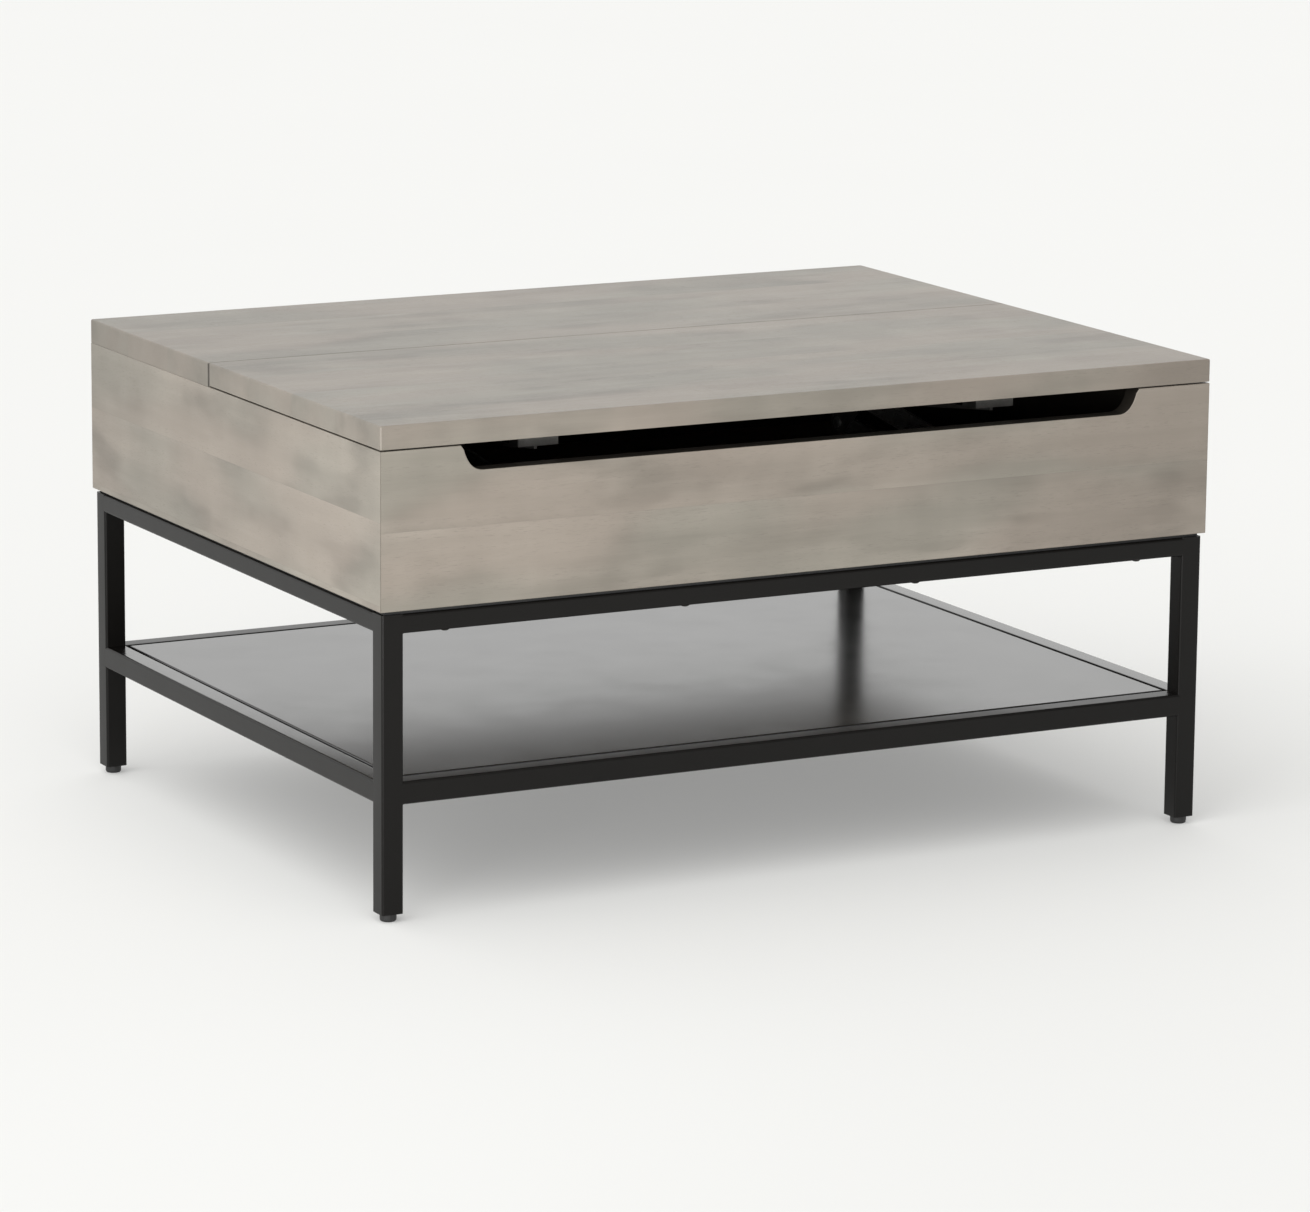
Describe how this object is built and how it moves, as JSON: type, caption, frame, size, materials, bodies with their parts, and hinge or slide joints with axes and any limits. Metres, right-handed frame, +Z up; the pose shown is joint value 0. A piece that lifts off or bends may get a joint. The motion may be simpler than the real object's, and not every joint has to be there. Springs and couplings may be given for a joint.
{
  "type": "lift top coffee table",
  "caption": "Rectangular coffee table with a grey wood storage box whose front top lifts forward on sprung linkages, on a black square-tube frame with a sheet metal shelf.",
  "frame": {"origin": "on the floor, under the middle of the table's outline", "axes": "+X along the table's length, -Y the front with the finger slot, +Z up"},
  "size_m": [0.9, 0.69, 0.47],
  "materials": {
    "grey_wood": "grey-washed solid wood with a matt lacquer",
    "pale_board": "plain sealed plywood",
    "black_steel": "black powder coat, satin on the tubes and smoother on the shelf",
    "zinc_steel": "bright zinc plate",
    "spring_steel": "oiled drawn spring wire",
    "black_plastic": "moulded matt plastic",
    "black_rubber": "matt rubber"
  },
  "bodies": {
    "root": {"base_bracket_left": "zinc_steel", "base_bracket_right": "zinc_steel", "bottom_panel": "pale_board", "bumper_front_left": "black_rubber", "bumper_front_right": "black_rubber", "bumper_rear_left": "black_rubber", "bumper_rear_right": "black_rubber", "fixed_top": "grey_wood", "follower_base_pin_left": "zinc_steel", "follower_base_pin_right": "zinc_steel", "frame_screw_1": "black_steel", "frame_screw_2": "black_steel", "frame_screw_3": "black_steel", "frame_screw_4": "black_steel", "front_panel": "grey_wood", "left_panel": "grey_wood", "leg_front_left": "black_steel", "leg_front_right": "black_steel", "leg_plug_front_left": "black_plastic", "leg_plug_front_right": "black_plastic", "leg_plug_rear_left": "black_plastic", "leg_plug_rear_right": "black_plastic", "leg_rear_left": "black_steel", "leg_rear_right": "black_steel", "lift_spring_left": "spring_steel", "lift_spring_right": "spring_steel", "main_base_pin_left": "zinc_steel", "main_base_pin_right": "zinc_steel", "rear_panel": "grey_wood", "right_panel": "grey_wood", "shelf_ledge_front": "black_steel", "shelf_ledge_rear": "black_steel", "shelf_panel": "black_steel", "shelf_rail_front": "black_steel", "shelf_rail_left": "black_steel", "shelf_rail_rear": "black_steel", "shelf_rail_right": "black_steel", "support_rail": "grey_wood", "top_rail_front": "black_steel", "top_rail_left": "black_steel", "top_rail_rear": "black_steel", "top_rail_right": "black_steel"},
    "lift_arms": {"main_arm_left": "zinc_steel", "main_arm_right": "zinc_steel", "cross_tube": "black_steel"},
    "lift_top": {"lift_top": "grey_wood", "lid_batten_left": "grey_wood", "lid_batten_right": "grey_wood", "top_bracket_left": "zinc_steel", "top_bracket_right": "zinc_steel", "main_top_pin_left": "zinc_steel", "main_top_pin_right": "zinc_steel", "follower_top_pin_left": "zinc_steel", "follower_top_pin_right": "zinc_steel"},
    "follower_left": {"follower_arm_left": "zinc_steel"},
    "follower_right": {"follower_arm_right": "zinc_steel"},
    "foot_front_left": {"levelling_foot_front_left": "black_plastic"},
    "foot_front_right": {"levelling_foot_front_right": "black_plastic"},
    "foot_rear_left": {"levelling_foot_rear_left": "black_plastic"},
    "foot_rear_right": {"levelling_foot_rear_right": "black_plastic"}
  },
  "joints": [
    {"name": "lift", "type": "hinge", "parent": "root", "child": "lift_arms", "pos_m": [0, -0.235, 0.366], "axis": [1, 0, 0], "range_deg": [0, 87], "deforming": ["lift_spring_left", "lift_spring_right"]},
    {"name": "top_level", "type": "hinge", "parent": "lift_arms", "child": "lift_top", "pos_m": [0, -0.00724, 0.39801], "axis": [1, 0, 0], "range_deg": [-87, 0]},
    {"name": "follower_left_pivot", "type": "hinge", "parent": "root", "child": "follower_left", "pos_m": [-0.2545, -0.189, 0.328], "axis": [1, 0, 0], "range_deg": [0, 87]},
    {"name": "follower_right_pivot", "type": "hinge", "parent": "root", "child": "follower_right", "pos_m": [0.2545, -0.189, 0.328], "axis": [1, 0, 0], "range_deg": [0, 87]},
    {"name": "foot_front_left_level", "type": "slide", "parent": "root", "child": "foot_front_left", "axis": [0, 0, -1], "range_m": [0, 0.01]},
    {"name": "foot_front_right_level", "type": "slide", "parent": "root", "child": "foot_front_right", "axis": [0, 0, -1], "range_m": [0, 0.01]},
    {"name": "foot_rear_left_level", "type": "slide", "parent": "root", "child": "foot_rear_left", "axis": [0, 0, -1], "range_m": [0, 0.01]},
    {"name": "foot_rear_right_level", "type": "slide", "parent": "root", "child": "foot_rear_right", "axis": [0, 0, -1], "range_m": [0, 0.01]}
  ],
  "couplings": [
    {"joint": "top_level", "follows": "lift", "ratio": -1},
    {"joint": "follower_left_pivot", "follows": "lift", "ratio": 1},
    {"joint": "follower_right_pivot", "follows": "lift", "ratio": 1}
  ]
}
